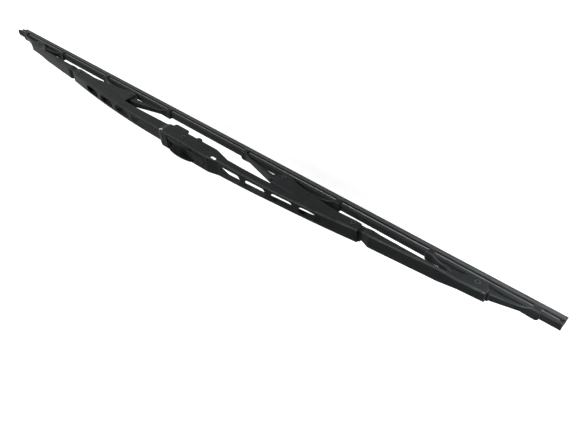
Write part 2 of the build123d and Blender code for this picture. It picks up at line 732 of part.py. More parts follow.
# Rivets and the centre pin: turned shanks with a rolled hollow end towards -Y
def make_rivet(x, height, width, shank, head):
    """One rivet through flanks that are width apart outside, at station x."""
    half = width / 2
    end = half + RIVET_HEAD_HEIGHT
    with BuildPart() as rivet:
        with BuildSketch(plan_plane(x, height)) as profile:
            with BuildLine():
                Polyline(
                    (0, RIVET_HOLLOW_DEPTH - end),
                    (RIVET_HOLLOW_RADIUS, RIVET_HOLLOW_DEPTH - end),
                    (RIVET_HOLLOW_RADIUS, -end),
                    (head - RIVET_HEAD_HEIGHT / 2, -end),
                    (head, -half),
                    (shank, -half),
                    (shank, half),
                    (head, half),
                )
                TangentArc((0, end), (head, half), tangent=(1, 0))
                Line((0, end), (0, RIVET_HOLLOW_DEPTH - end))
            make_face()
        revolve(axis=Axis((x, 0, height - PIN_HEIGHT), (0, 1, 0)))
    return rivet.part


write(make_rivet(0, PIN_HEIGHT, SADDLE_WIDTH, PIN_RADIUS, PIN_HEAD_RADIUS), "centre_pin")
for name, x in (("left", -LEVER_PIVOT_X), ("right", LEVER_PIVOT_X)):
    lever_rivet = make_rivet(x, LEVER_PIVOT_HEIGHT, PRIMARY_WIDTH, LEVER_RIVET_RADIUS, RIVET_HEAD_RADIUS)
    write(lever_rivet, f"lever_rivet_{name}")
for place, (x, pivot, arm, rise) in YOKES.items():
    yoke_rivet = make_rivet(x, pivot, SECONDARY_WIDTH, YOKE_RIVET_RADIUS, RIVET_HEAD_RADIUS)
    write(yoke_rivet, f"yoke_rivet_{place}")

# Rubber strip: a head between the rails, a foot under them, a neck and the wiping lip
FOOT_TOP = -RAIL_THICKNESS / 2
FOOT_BOTTOM = FOOT_TOP - FOOT_DEPTH
NECK_BOTTOM = FOOT_BOTTOM - NECK_DEPTH
SHOULDER_BOTTOM = NECK_BOTTOM - SHOULDER_DEPTH
WEDGE_BOTTOM = SHOULDER_BOTTOM - WEDGE_DEPTH
LIP_BOTTOM = WEDGE_BOTTOM - LIP_DEPTH
HEAD_TOP = RAIL_THICKNESS / 2 + HEAD_RISE

with BuildPart() as rubber_strip:
    with BuildSketch(section_plane(0)) as rubber_section:
        with BuildLine():
            Polyline(
                (0, HEAD_TOP),
                (HEAD_HALF, HEAD_TOP),
                (HEAD_HALF, RAIL_THICKNESS / 2),
                (RAIL_INNER, RAIL_THICKNESS / 2),
                (RAIL_INNER, FOOT_TOP),
                (FOOT_HALF, FOOT_TOP),
                (FOOT_HALF, FOOT_BOTTOM),
                (NECK_HALF, FOOT_BOTTOM),
                (NECK_HALF, NECK_BOTTOM),
                (SHOULDER_HALF, NECK_BOTTOM),
                (SHOULDER_HALF, SHOULDER_BOTTOM),
                (LIP_HALF, WEDGE_BOTTOM),
                (LIP_HALF, LIP_BOTTOM),
                (0, LIP_BOTTOM),
                close=True,
            )
        make_face()
        round_corner(rubber_section, HEAD_HALF, HEAD_TOP, HEAD_CORNER)
        round_corner(rubber_section, LIP_HALF, WEDGE_BOTTOM, WEDGE_DEPTH / 2)
        mirror(about=Plane.YZ)
    extrude(amount=RUBBER_HALF, both=True)

write(rubber_strip.part, "rubber_strip")

# Rails: two flat spring-steel strips in the rubber's side grooves
RAIL_MIDDLE = (RAIL_OUTER + RAIL_INNER) / 2

for name, y in (("front", -RAIL_MIDDLE), ("rear", RAIL_MIDDLE)):
    with BuildPart() as rail:
        with BuildSketch(section_plane(0)) as rail_section:
            with Locations((y, 0)):
                Rectangle(RAIL_OUTER - RAIL_INNER, RAIL_THICKNESS)
        extrude(amount=RUBBER_HALF - RAIL_INSET, both=True)
    write(rail.part, f"rail_{name}")

# Arm adapter: two cheeks joined by a barrel on the pin, with a springy locking tongue
CHEEK_TOP = PIN_HEIGHT + CHEEK_RISE
CHEEK_BOTTOM = PIN_HEIGHT - CHEEK_DROP
CHEEK_FOOT = CHEEK_BOTTOM - CHEEK_FOOT_DROP
CHEEK_FOOT_START = CHEEK_FRONT - CHEEK_FOOT_LENGTH
TONGUE_TOP = SADDLE_TOP - TONGUE_SUNK
TONGUE_END = TONGUE_SLOT_BACK - TONGUE_GAP

with BuildPart() as arm_adapter:
    with BuildSketch(side_plane(0)) as cheek_side:
        with BuildLine():
            ThreePointArc(
                (-CHEEK_BACK, CHEEK_TOP),
                ((CHEEK_SLOPE_START - CHEEK_BACK) / 2, CHEEK_TOP + CHEEK_ARCH),
                (CHEEK_SLOPE_START, CHEEK_TOP),
            )
            Polyline(
                (CHEEK_SLOPE_START, CHEEK_TOP),
                (WINDOW_FRONT, PIN_HEIGHT + CHEEK_SLOPE_RISE),
                (CHEEK_FRONT, PIN_HEIGHT),
                (CHEEK_FRONT, CHEEK_FOOT),
                (CHEEK_FOOT_START, CHEEK_FOOT),
                (CHEEK_FOOT_START - CHEEK_WALL, CHEEK_BOTTOM),
                (CHEEK_NUB_LENGTH - CHEEK_NUB_BACK + CHEEK_WALL, CHEEK_BOTTOM),
                (CHEEK_NUB_LENGTH - CHEEK_NUB_BACK, CHEEK_BOTTOM - CHEEK_NUB_DROP),
                (-CHEEK_NUB_BACK, CHEEK_BOTTOM - CHEEK_NUB_DROP),
                (-CHEEK_BACK, CHEEK_BOTTOM),
                (-CHEEK_BACK, CHEEK_TOP),
            )
        make_face()
        corners = cheek_side.vertices().sort_by_distance((CHEEK_FRONT, CHEEK_FOOT, 0))
        fillet(corners[1:], CHEEK_CORNER)
        round_corner(cheek_side, CHEEK_FRONT, CHEEK_FOOT, CHEEK_TOE)
    extrude(amount=ADAPTER_WIDTH / 2, both=True)
    with BuildSketch(side_plane(0)) as hook_space:
        with Locations((0, PIN_HEIGHT)):
            Rectangle(2 * SADDLE_BACK, 2 * SADDLE_BACK)
    extrude(amount=ADAPTER_WIDTH / 2 - CHEEK_WALL, both=True, mode=Mode.SUBTRACT)
    with BuildSketch(side_plane(0)) as bridges:
        with Locations((0, PIN_HEIGHT)):
            Circle(BARREL_RADIUS)
        with Locations((CHEEK_WALL - CHEEK_BACK, CHEEK_BOTTOM + CHEEK_WALL)):
            Rectangle(CHEEK_WALL, 2 * CHEEK_WALL)
    extrude(amount=ADAPTER_WIDTH / 2 - CHEEK_WALL / 2, both=True)
    with BuildSketch(side_plane(0)) as tongue_side:
        with BuildLine():
            Polyline(
                (0, PIN_HEIGHT + BARREL_RADIUS),
                (-TONGUE_ROOT, TONGUE_TOP),
                (-TONGUE_END, TONGUE_TOP),
                (-TONGUE_END, TONGUE_TOP - TONGUE_THICKNESS),
                (-TONGUE_ROOT, TONGUE_TOP - TONGUE_THICKNESS),
                (0, PIN_HEIGHT + BARREL_RADIUS - TONGUE_THICKNESS),
                close=True,
            )
        make_face()
        round_corner(tongue_side, -TONGUE_ROOT, TONGUE_TOP, TONGUE_ROOT)
        round_corner(tongue_side, -TONGUE_ROOT, TONGUE_TOP - TONGUE_THICKNESS, TONGUE_ROOT)
    extrude(amount=TONGUE_WIDTH / 2, both=True)
    tongue_tip = arm_adapter.edges().filter_by(Axis.Z).group_by(Axis.X)[0]
    fillet(tongue_tip, TONGUE_WIDTH / 2 - TONGUE_SUNK)
    with BuildSketch(side_plane(0)) as pin_bore:
        with Locations((0, PIN_HEIGHT)):
            Circle(PIN_RADIUS + TURNING_CLEARANCE)
    extrude(amount=ADAPTER_WIDTH, both=True, mode=Mode.SUBTRACT)

write(arm_adapter.part, "arm_adapter")
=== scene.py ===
"""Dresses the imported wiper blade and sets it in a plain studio, seen as in the photograph."""

import logging
import math
from dataclasses import dataclass
from enum import Enum

import bmesh
import bpy
from mathutils import Matrix, Vector


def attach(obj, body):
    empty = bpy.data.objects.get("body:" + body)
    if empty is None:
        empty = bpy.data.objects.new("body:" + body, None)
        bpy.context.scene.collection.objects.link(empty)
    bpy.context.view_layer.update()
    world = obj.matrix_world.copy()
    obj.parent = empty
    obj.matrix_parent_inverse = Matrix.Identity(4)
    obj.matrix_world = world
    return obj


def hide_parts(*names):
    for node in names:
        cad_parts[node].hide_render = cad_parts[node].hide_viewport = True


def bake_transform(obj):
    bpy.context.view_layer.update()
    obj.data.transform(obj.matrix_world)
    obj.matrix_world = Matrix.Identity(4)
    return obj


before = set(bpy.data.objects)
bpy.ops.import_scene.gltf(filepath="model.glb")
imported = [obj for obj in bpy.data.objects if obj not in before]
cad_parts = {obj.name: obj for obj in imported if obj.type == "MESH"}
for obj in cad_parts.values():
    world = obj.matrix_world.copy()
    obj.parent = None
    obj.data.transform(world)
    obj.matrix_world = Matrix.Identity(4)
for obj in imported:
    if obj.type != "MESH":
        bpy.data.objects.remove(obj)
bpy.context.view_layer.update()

log = logging.getLogger("wiper_blade")

Colour = tuple[float, float, float]
Point = tuple[float, float, float]
Flat = tuple[float, float]
Range = tuple[float, float]
# A corner of an outline: its place across and up, and its radius.
Corner = tuple[float, float, float]

MM: float = 0.001
WHITE: Colour = (1.0, 1.0, 1.0)
UNIT: Range = (0.0, 1.0)
FALLING: Range = (1.0, 0.0)
# Nearly all of a noise's values lie in this range.
NOISE_RANGE: Range = (0.3, 0.7)
# The vertex attribute that says how far a rivet is rubbed.
RUBBED: str = "rubbed"


class Side(Enum):
    """The two halves of the blade, by the sign of X."""

    LEFT = -1
    RIGHT = 1

    @property
    def word(self) -> str:
        """The side's word in the names of nodes and bodies."""
        return self.name.lower()


class Slot(Enum):
    """The names of the record's material slots for the rivets, rails and rubber."""

    RIVET = "rivet_steel"
    RAIL = "rail_steel"
    RUBBER = "strip_rubber"


def link_object(name: str, data: bpy.types.ID) -> bpy.types.Object:
    """Makes an object and puts it into the scene.

    Args:
        name: the object's name.
        data: its mesh, curve, lamp or camera.

    Returns:
        The new object.
    """
    made = bpy.data.objects.new(name, data)
    bpy.context.scene.collection.objects.link(made)
    return made


class NodeSheet:
    """A node tree with short calls to place and join its nodes."""

    def __init__(self, tree: bpy.types.NodeTree) -> None:
        """Takes the shader or geometry node tree that the nodes go into."""
        self.tree = tree

    def add(self, kind: str, inputs: dict | None = None, **settings: object) -> bpy.types.Node:
        """Places one node.

        Args:
            kind: the node's type name.
            inputs: values or sockets for its inputs, by name or number.
            settings: attributes of the node itself, set before its inputs.

        Returns:
            The new node.
        """
        node = self.tree.nodes.new(kind)
        for name, value in settings.items():
            setattr(node, name, value)
        for key, value in (inputs or {}).items():
            self.feed(node.inputs[key], value)
        return node

    def feed(self, socket: bpy.types.NodeSocket, value: object) -> None:
        """Joins a socket to an output, or sets its own value.

        Args:
            socket: the input to feed.
            value: an output socket, or a plain value.
        """
        if isinstance(value, bpy.types.NodeSocket):
            self.tree.links.new(value, socket)
        elif socket.type == "RGBA" and len(value) == 3:
            socket.default_value = (*value, 1.0)
        else:
            socket.default_value = value

    def math(self, operation: str, first: object, second: object = 0.0) -> bpy.types.NodeSocket:
        """Does a sum with one or two values or sockets, and returns the result's socket."""
        node = self.add("ShaderNodeMath", {0: first, 1: second}, operation=operation)
        return node.outputs[0]

    def blend(self, amount: object, first: object, second: object) -> bpy.types.NodeSocket:
        """Mixes two colours, the first at 0 and the second at 1, and returns the mix's socket."""
        node = self.add("ShaderNodeMix", {0: amount, 6: first, 7: second}, data_type="RGBA")
        return node.outputs[2]

    def ramp(self, value: object, source: Range, target: Range) -> bpy.types.NodeSocket:
        """Maps a value smoothly from one range to another, held at both ends.

        Args:
            value: the value to map.
            source: where the map starts and where it ends.
            target: what it gives at the start and at the end.

        Returns:
            The mapped value's socket.
        """
        node = self.add(
            "ShaderNodeMapRange",
            {0: value, 1: source[0], 2: source[1], 3: target[0], 4: target[1]},
            interpolation_type="SMOOTHSTEP",
        )
        return node.outputs[0]

    def noise(self, place: object, scale: object, detail: float) -> bpy.types.NodeSocket:
        """Spreads a noise over coordinates, and returns the socket of its value from 0 to 1."""
        node = self.add("ShaderNodeTexNoise", {"Vector": place, "Scale": scale, "Detail": detail})
        return node.outputs["Fac"]

    def axes(self, vector: bpy.types.NodeSocket) -> bpy.types.Node:
        """Splits a vector, and returns the node whose outputs are X, Y and Z."""
        return self.add("ShaderNodeSeparateXYZ", {0: vector})


def open_group(name: str, kind: str, inputs: dict[str, str], outputs: dict[str, str]) -> NodeSheet:
    """Makes an empty node group with named sockets.

    Args:
        name: the group's name.
        kind: the tree's type name.
        inputs: socket types by input name.
        outputs: socket types by output name.

    Returns:
        The sheet to place its nodes on.
    """
    tree = bpy.data.node_groups.new(name, kind)
    for way, sockets in (("INPUT", inputs), ("OUTPUT", outputs)):
        for socket, socket_type in sockets.items():
            tree.interface.new_socket(name=socket, in_out=way, socket_type=socket_type)
    return NodeSheet(tree)


def empty_nodes(owner: bpy.types.Material | bpy.types.World) -> bpy.types.NodeTree:
    """Gives a material or a world an empty node tree.

    Args:
        owner: the material or the world.

    Returns:
        Its tree, with no nodes in it.
    """
    owner.use_nodes = True
    owner.node_tree.nodes.clear()
    return owner.node_tree


class SharedEffects:
    """The shader node groups that more than one finish uses, each built once."""

    coarse_detail: float = 2.0
    fine_detail: float = 3.0
    fine_times: float = 4.3
    streak_detail: float = 4.0
    edge_samples: int = 4
    edge_cosines: Range = (0.995, 0.85)

    def __init__(self) -> None:
        """Builds the groups."""
        self.mottle = self.build_mottle()
        self.streaks = self.build_streaks()
        self.edges = self.build_edges()

    def build_mottle(self) -> bpy.types.NodeTree:
        """Makes an even, soft unevenness at two sizes.

        Returns:
            The group, which puts out a value from 0 to 1.
        """
        sheet = open_group(
            "soft_mottle",
            "ShaderNodeTree",
            {
                "Place": "NodeSocketVector",
                "Per Metre": "NodeSocketFloat",
                "Fine Share": "NodeSocketFloat",
            },
            {"Value": "NodeSocketFloat"},
        )
        source = sheet.add("NodeGroupInput").outputs
        coarse = sheet.noise(source["Place"], source["Per Metre"], self.coarse_detail)
        finer = sheet.math("MULTIPLY", source["Per Metre"], self.fine_times)
        fine = sheet.noise(source["Place"], finer, self.fine_detail)
        value = sheet.add(
            "ShaderNodeMix",
            {0: source["Fine Share"], 2: coarse, 3: fine},
            data_type="FLOAT",
        )
        sheet.add("NodeGroupOutput", {"Value": value.outputs[0]})
        return sheet.tree

    def build_streaks(self) -> bpy.types.NodeTree:
        """Makes fine lines along the blade, as rolling and extruding leave.

        Returns:
            The group, which puts out a value from 0 to 1.
        """
        sheet = open_group(
            "lengthwise_streaks",
            "ShaderNodeTree",
            {"Place": "NodeSocketVector", "Along": "NodeSocketFloat", "Across": "NodeSocketFloat"},
            {"Value": "NodeSocketFloat"},
        )
        source = sheet.add("NodeGroupInput").outputs
        stretch = sheet.add(
            "ShaderNodeCombineXYZ",
            {0: source["Along"], 1: source["Across"], 2: source["Across"]},
        )
        place = sheet.add(
            "ShaderNodeVectorMath",
            {0: source["Place"], 1: stretch.outputs[0]},
            operation="MULTIPLY",
        )
        lines = sheet.noise(place.outputs[0], 1.0, self.streak_detail)
        sheet.add("NodeGroupOutput", {"Value": lines})
        return sheet.tree

    def build_edges(self) -> bpy.types.NodeTree:
        """Makes cut edges look slightly rounded, and marks where they are.

        Returns:
            The group, which puts out the rounded normal and a mask of the edges.
        """
        sheet = open_group(
            "softened_edges",
            "ShaderNodeTree",
            {"Radius": "NodeSocketFloat", "Reach": "NodeSocketFloat"},
            {"Normal": "NodeSocketVector", "Mask": "NodeSocketFloat"},
        )
        source = sheet.add("NodeGroupInput").outputs
        rounded = sheet.add("ShaderNodeBevel", {"Radius": source["Radius"]}, samples=self.edge_samples)
        wide = sheet.add("ShaderNodeBevel", {"Radius": source["Reach"]}, samples=self.edge_samples)
        plain = sheet.add("ShaderNodeNewGeometry")
        turned = sheet.add(
            "ShaderNodeVectorMath",
            {0: wide.outputs[0], 1: plain.outputs["Normal"]},
            operation="DOT_PRODUCT",
        )
        mask = sheet.ramp(turned.outputs["Value"], self.edge_cosines, UNIT)
        sheet.add("NodeGroupOutput", {"Normal": rounded.outputs[0], "Mask": mask})
        return sheet.tree


@dataclass(frozen=True)
class Mottle:
    """Soft patches in a finish: how many to a metre, and the share of the finer ones."""

    per_metre: float
    fine_share: float


@dataclass(frozen=True)
class Streaks:
    """Lines in a finish: how many to a metre along the blade and across it."""

    along: float
    across: float


@dataclass(frozen=True)
class Relief:
    """How far a texture stands out, in metres, and how strongly that shows."""

    height: float
    strength: float


@dataclass(frozen=True)
class EdgeRounding:
    """How round an edge looks, and how far from it the wear reaches, in metres."""

    radius: float
    reach: float


class CoatSheet(NodeSheet):
    """A material's nodes, with the shared effects at hand."""

    def __init__(self, tree: bpy.types.NodeTree, effects: SharedEffects) -> None:
        """Takes the tree and places the coordinates that its textures are spread over.

        Args:
            tree: the material's node tree.
            effects: the shared node groups.
        """
        super().__init__(tree)
        self.effects = effects
        self.place = self.add("ShaderNodeTexCoord").outputs["Object"]

    def mottle(self, patches: Mottle) -> bpy.types.NodeSocket:
        """Places soft patches, and returns the socket of their value from 0 to 1."""
        values = {"Place": self.place, "Per Metre": patches.per_metre, "Fine Share": patches.fine_share}
        return self.add("ShaderNodeGroup", values, node_tree=self.effects.mottle).outputs["Value"]

    def streaks(self, lines: Streaks) -> bpy.types.NodeSocket:
        """Places lines along the blade, and returns the socket of their value from 0 to 1."""
        values = {"Place": self.place, "Along": lines.along, "Across": lines.across}
        return self.add("ShaderNodeGroup", values, node_tree=self.effects.streaks).outputs["Value"]

    def edges(self, rounding: EdgeRounding) -> bpy.types.Node:
        """Rounds the edges, and returns the node whose outputs are Normal and Mask."""
        values = {"Radius": rounding.radius, "Reach": rounding.reach}
        return self.add("ShaderNodeGroup", values, node_tree=self.effects.edges)

    def bump(
        self, texture: bpy.types.NodeSocket, relief: Relief, normal: bpy.types.NodeSocket | None = None
    ) -> bpy.types.NodeSocket:
        """Makes a texture stand out from the surface.

        Args:
            texture: the texture's value.
            relief: how far it stands out.
            normal: the normal that it starts from, or none for the surface's own.

        Returns:
            The new normal's socket.
        """
        inputs = {"Height": texture, "Distance": relief.height, "Strength": relief.strength}
        if normal is not None:
            inputs["Normal"] = normal
        return self.add("ShaderNodeBump", inputs).outputs[0]


@dataclass(frozen=True)
class Finish:
    """A material with one Principled shader, whose inputs each kind of finish works out."""

    name: str

    def surface(self, sheet: CoatSheet) -> dict[str, object]:
        """Works out the shader's inputs.

        Args:
            sheet: the material's nodes.

        Returns:
            Values or sockets by the names of the shader's inputs.
        """
        raise NotImplementedError

    def build(self, effects: SharedEffects) -> bpy.types.Material:
        """Makes the material.

        Args:
            effects: the shared node groups.

        Returns:
            The finished material.
        """
        material = bpy.data.materials.new(self.name)
        sheet = CoatSheet(empty_nodes(material), effects)
        shader = sheet.add("ShaderNodeBsdfPrincipled", self.surface(sheet))
        sheet.add("ShaderNodeOutputMaterial", {"Surface": shader.outputs[0]})
        return material


@dataclass(frozen=True)
class PaintFinish(Finish):
    """Satin black powder coat on stamped sheet, worn at cut edges, with a highlight painted along the
    bends and bounce light painted lighter on the inner and downward faces.
    """

    deep: Colour
    pale: Colour
    # Lighter colour for real wear on cut edges and for the highlight painted along the bends.
    edge: Colour
    # Lighter colour painted on inner and downward faces as bounce light from the floor.
    inner: Colour
    roughness: Range
    gloss: float = 0.05
    cloud: Mottle = Mottle(55.0, fine_share=0.35)
    peel: Mottle = Mottle(900.0, fine_share=0.4)
    peel_range: Range = (0.25, 0.75)
    peel_relief: Relief = Relief(0.01 * MM, strength=0.6)
    rounding: EdgeRounding = EdgeRounding(radius=0.22 * MM, reach=0.5 * MM)
    edge_wear: float = 0.35
    # How strongly the painted bend highlight shows over the coat's patches.
    bend_wear: Range = (0.5, 0.75)
    # What the masks read: the normal's Y times its Z, its Y times the place's Y, and its Z.
    bend_slant: Range = (0.22, 0.36)
    inward: Range = (-3.0 * MM, -1.0 * MM)
    downward: Range = (-0.8, -0.5)

    def bends(self, sheet: CoatSheet, facing: bpy.types.Node) -> bpy.types.NodeSocket:
        """Finds the long bends between the back and the flanks, where a lighter colour is painted as a
        highlight.

        Args:
            sheet: the material's nodes.
            facing: the split normal.

        Returns:
            A mask that is 1 along the middle of each bend.
        """
        sideways = sheet.math("ABSOLUTE", facing.outputs["Y"])
        slanted = sheet.math("MULTIPLY", sideways, facing.outputs["Z"])
        return sheet.ramp(slanted, self.bend_slant, UNIT)

    def inside(self, sheet: CoatSheet, facing: bpy.types.Node) -> bpy.types.NodeSocket:
        """Finds the inner and downward faces of the channels, which are painted lighter in place of the
        light reflected into them from the floor.

        Args:
            sheet: the material's nodes.
            facing: the split normal.

        Returns:
            A mask that is 1 on faces that look towards the middle plane or down.
        """
        across = sheet.axes(sheet.place).outputs["Y"]
        outward = sheet.math("MULTIPLY", facing.outputs["Y"], across)
        inward = sheet.ramp(outward, self.inward, FALLING)
        under = sheet.ramp(facing.outputs["Z"], self.downward, FALLING)
        return sheet.math("MAXIMUM", inward, under)

    def surface(self, sheet: CoatSheet) -> dict[str, object]:
        """Works out the shader's inputs.

        Args:
            sheet: the material's nodes.

        Returns:
            Values or sockets by the names of the shader's inputs.
        """
        shade = sheet.ramp(sheet.mottle(self.cloud), NOISE_RANGE, UNIT)
        peel = sheet.mottle(self.peel)
        edges = sheet.edges(self.rounding).outputs
        facing = sheet.axes(sheet.add("ShaderNodeNewGeometry").outputs["Normal"])
        # A highlight is painted along the middle of the bends, in patches; cut edges get real wear in
        # the same lighter colour.
        patchy = sheet.ramp(shade, UNIT, self.bend_wear)
        rubbed = sheet.math("MULTIPLY", self.bends(sheet, facing), patchy)
        chipped = sheet.math("MULTIPLY", edges["Mask"], self.edge_wear)
        wear_and_highlight = sheet.math("MAXIMUM", chipped, rubbed)
        outer = sheet.blend(wear_and_highlight, sheet.blend(shade, self.deep, self.pale), self.edge)
        # Inner and downward faces take the inner colour as painted bounce light.
        return {
            "Base Color": sheet.blend(self.inside(sheet, facing), outer, self.inner),
            "Roughness": sheet.ramp(peel, self.peel_range, self.roughness),
            "Normal": sheet.bump(peel, self.peel_relief, edges["Normal"]),
            "Specular IOR Level": self.gloss,
        }


@dataclass(frozen=True)
class RivetFinish(Finish):
    """Blackened rivet steel, rubbed bright where the end is rolled over."""

    black: Colour
    bright: Colour
    scuff: Mottle = Mottle(1400.0, fine_share=0.6)
    scuff_range: Range = (0.35, 0.62)
    scuff_share: Range = (0.45, 1.0)
    scuff_relief: Relief = Relief(0.01 * MM, strength=0.5)
    bare_range: Range = (0.0, 0.6)
    metal: Range = (0.55, 1.0)
    roughness: Range = (0.3, 0.46)

    def surface(self, sheet: CoatSheet) -> dict[str, object]:
        """Works out the shader's inputs.

        Args:
            sheet: the material's nodes.

        Returns:
            Values or sockets by the names of the shader's inputs.
        """
        rubbed = sheet.add("ShaderNodeAttribute", attribute_name=RUBBED).outputs["Fac"]
        scuff = sheet.mottle(self.scuff)
        bare = sheet.math("MULTIPLY", rubbed, sheet.ramp(scuff, self.scuff_range, self.scuff_share))
        return {
            "Base Color": sheet.blend(bare, self.black, self.bright),
            "Metallic": sheet.ramp(bare, self.bare_range, self.metal),
            "Roughness": sheet.ramp(scuff, NOISE_RANGE, self.roughness),
            "Normal": sheet.bump(scuff, self.scuff_relief),
        }


@dataclass(frozen=True)
class RailFinish(Finish):
    """Rolled spring strip with fine lines along it."""

    dull: Colour
    bright: Colour
    metal: float = 1.0
    lines: Streaks = Streaks(along=25.0, across=5200.0)
    line_relief: Relief = Relief(0.008 * MM, strength=0.5)
    cloud: Mottle = Mottle(120.0, fine_share=0.3)
    cloud_share: Range = (0.7, 1.1)
    roughness: Range = (0.26, 0.42)

    def surface(self, sheet: CoatSheet) -> dict[str, object]:
        """Works out the shader's inputs.

        Args:
            sheet: the material's nodes.

        Returns:
            Values or sockets by the names of the shader's inputs.
        """
        lines = sheet.streaks(self.lines)
        cloud = sheet.ramp(sheet.mottle(self.cloud), NOISE_RANGE, self.cloud_share)
        shade = sheet.math("MULTIPLY", lines, cloud)
        return {
            "Base Color": sheet.blend(shade, self.dull, self.bright),
            "Metallic": self.metal,
            "Roughness": sheet.ramp(lines, NOISE_RANGE, self.roughness),
            "Normal": sheet.bump(lines, self.line_relief),
        }


@dataclass(frozen=True)
class RubberFinish(Finish):
    """Extruded rubber, dark above and painted lighter grey towards the lip as its sheen, with faint
    lighter streaks along it.
    """

    dark: Colour
    # The lighter grey, painted towards the lip as its sheen; the faint streaks take it too.
    grey: Colour
    # The heights over which the strip is painted lighter towards the lip, as the lip's sheen.
    dust_heights: Range
    gloss: float = 0.15
    lines: Streaks = Streaks(along=14.0, across=3600.0)
    line_share: float = 0.12
    line_relief: Relief = Relief(0.02 * MM, strength=0.5)
    bloom: Mottle = Mottle(260.0, fine_share=0.5)
    bloom_share: Range = (0.72, 1.0)
    roughness: Range = (0.5, 0.66)

    def surface(self, sheet: CoatSheet) -> dict[str, object]:
        """Works out the shader's inputs.

        Args:
            sheet: the material's nodes.

        Returns:
            Values or sockets by the names of the shader's inputs.
        """
        lines = sheet.streaks(self.lines)
        bloom = sheet.ramp(sheet.mottle(self.bloom), NOISE_RANGE, self.bloom_share)
        # Lower down, towards the lip, the colour is painted lighter as the lip's sheen.
        low = sheet.ramp(sheet.axes(sheet.place).outputs["Z"], self.dust_heights, UNIT)
        patchy = sheet.math("MULTIPLY", low, bloom)
        faint = sheet.math("MULTIPLY", lines, self.line_share)
        sheen_and_streaks = sheet.math("ADD", patchy, faint)
        return {
            "Base Color": sheet.blend(sheen_and_streaks, self.dark, self.grey),
            "Roughness": sheet.ramp(lines, NOISE_RANGE, self.roughness),
            "Normal": sheet.bump(lines, self.line_relief),
            "Specular IOR Level": self.gloss,
        }


@dataclass(frozen=True)
class PlasticFinish(Finish):
    """Moulded black plastic with a fine eroded texture."""

    deep: Colour
    pale: Colour
    roughness: Range
    gloss: float = 0.15
    grain: Mottle = Mottle(2600.0, fine_share=0.55)
    grain_relief: Relief = Relief(0.015 * MM, strength=0.6)
    flow: Mottle = Mottle(140.0, fine_share=0.2)
    rounding: EdgeRounding = EdgeRounding(radius=0.2 * MM, reach=0.4 * MM)

    def surface(self, sheet: CoatSheet) -> dict[str, object]:
        """Works out the shader's inputs.

        Args:
            sheet: the material's nodes.

        Returns:
            Values or sockets by the names of the shader's inputs.
        """
        grain = sheet.mottle(self.grain)
        flow = sheet.ramp(sheet.mottle(self.flow), NOISE_RANGE, UNIT)
        edges = sheet.edges(self.rounding).outputs
        return {
            "Base Color": sheet.blend(flow, self.deep, self.pale),
            "Roughness": sheet.ramp(grain, NOISE_RANGE, self.roughness),
            "Normal": sheet.bump(grain, self.grain_relief, edges["Normal"]),
            "Specular IOR Level": self.gloss,
        }


def dress(node: str, material: bpy.types.Material) -> None:
    """Gives a CAD node its finish.

    Args:
        node: the node's name.
        material: the finish for all its slots.
    """
    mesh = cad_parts[node].data
    if not mesh.materials:
        mesh.materials.append(material)
    for place in range(len(mesh.materials)):
        mesh.materials[place] = material
    log.info("dressed %s in %s", node, material.name)


def freeze(piece: bpy.types.Object, sharp_degrees: float) -> bpy.types.Object:
    """Turns an object's node modifier into its plain mesh, shaded smooth except over sharp edges.

    Args:
        piece: an object whose only modifier is a node tree.
        sharp_degrees: edges that turn more than this stay sharp.

    Returns:
        The same object with the made mesh and no modifier.
    """
    view = bpy.context.evaluated_depsgraph_get()
    mesh = bpy.data.meshes.new_from_object(piece.evaluated_get(view))
    mesh.name = piece.name
    mesh.shade_smooth()
    mesh.set_sharp_from_angle(angle=math.radians(sharp_degrees))
    piece.modifiers.clear()
    piece.data = mesh
    return piece


class NodeTool:
    """A geometry node tree with named inputs, run on an empty mesh."""

    def __init__(self, name: str, inputs: dict[str, str]) -> None:
        """Makes the tree with its sockets, among them one for the finish.

        Args:
            name: the tree's name.
            inputs: socket types by input name.
        """
        sockets = {**inputs, "Material": "NodeSocketMaterial"}
        self.sheet = open_group(name, "GeometryNodeTree", sockets, {"Made": "NodeSocketGeometry"})
        self.source = self.sheet.add("NodeGroupInput").outputs

    def close(self, made: bpy.types.NodeSocket) -> None:
        """Ends the tree with real geometry in its finish.

        Args:
            made: the geometry to put out.
        """
        real = self.sheet.add("GeometryNodeRealizeInstances", {0: made})
        painted = self.sheet.add(
            "GeometryNodeSetMaterial",
            {"Geometry": real.outputs[0], "Material": self.source["Material"]},
        )
        self.sheet.add("NodeGroupOutput", {"Made": painted.outputs[0]})

    def run(self, name: str, values: dict[str, object], sharp_degrees: float) -> bpy.types.Object:
        """Makes one piece.

        Args:
            name: the piece's name.
            values: the tree's inputs by name.
            sharp_degrees: edges that turn more than this stay sharp.

        Returns:
            The piece as a plain mesh object.
        """
        piece = link_object(name, bpy.data.meshes.new(name))
        modifier = piece.modifiers.new("make", "NODES")
        modifier.node_group = self.sheet.tree
        for socket in self.sheet.tree.interface.items_tree:
            if socket.in_out == "INPUT":
                modifier[socket.identifier] = values[socket.name]
        return freeze(piece, sharp_degrees)


class SweepTool(NodeTool):
    """Pulls a section along a straight line, as an extruder does."""

    def __init__(self) -> None:
        """Builds the tree."""
        super().__init__(
            "pulled_section",
            {
                "Section": "NodeSocketObject",
                "Start": "NodeSocketVector",
                "End": "NodeSocketVector",
                "Cuts": "NodeSocketInt",
                "Closed Ends": "NodeSocketBool",
            },
        )
        sheet, source = self.sheet, self.source
        section = sheet.add("GeometryNodeObjectInfo", {"Object": source["Section"]})
        line = sheet.add(
            "GeometryNodeCurvePrimitiveLine",
            {"Start": source["Start"], "End": source["End"]},
        )
        cut = sheet.add("GeometryNodeResampleCurve", {"Curve": line.outputs[0], "Count": source["Cuts"]})
        level = sheet.add("GeometryNodeSetCurveNormal", {"Curve": cut.outputs[0]}, mode="Z_UP")
        pulled = sheet.add(
            "GeometryNodeCurveToMesh",
            {
                "Curve": level.outputs[0],
                "Profile Curve": section.outputs["Geometry"],
                "Fill Caps": source["Closed Ends"],
            },
        )
        self.close(pulled.outputs[0])


